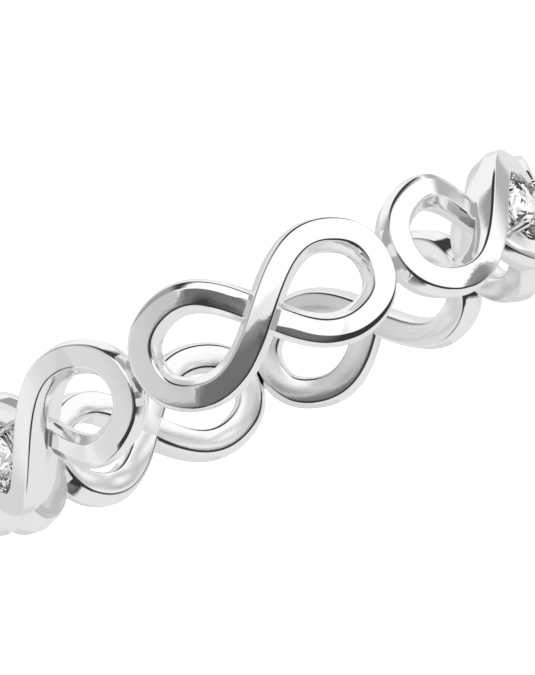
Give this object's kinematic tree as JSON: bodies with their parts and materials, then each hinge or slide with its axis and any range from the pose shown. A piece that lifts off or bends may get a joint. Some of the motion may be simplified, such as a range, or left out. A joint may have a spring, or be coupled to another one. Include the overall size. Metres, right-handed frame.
{
  "type": "infinity ring",
  "caption": "Openwork silver finger ring: figure-eight links joined end to end round the band, with clear round stones bead-set in some of the loops.",
  "frame": {"origin": "on the finger axis, at the plane that the ring rests on when it lies on its side", "axes": "+Z along the finger axis, upward as the ring lies; -Y through the crossing of the front link; +X to the right as seen from in front of that link"},
  "size_m": [0.0196, 0.0195, 0.0038],
  "materials": {
    "silver": "high polish",
    "stone": "faceted and polished"
  },
  "bodies": {
    "root": {"band": "silver", "stone_left": "stone", "stone_right": "stone"}
  },
  "joints": []
}
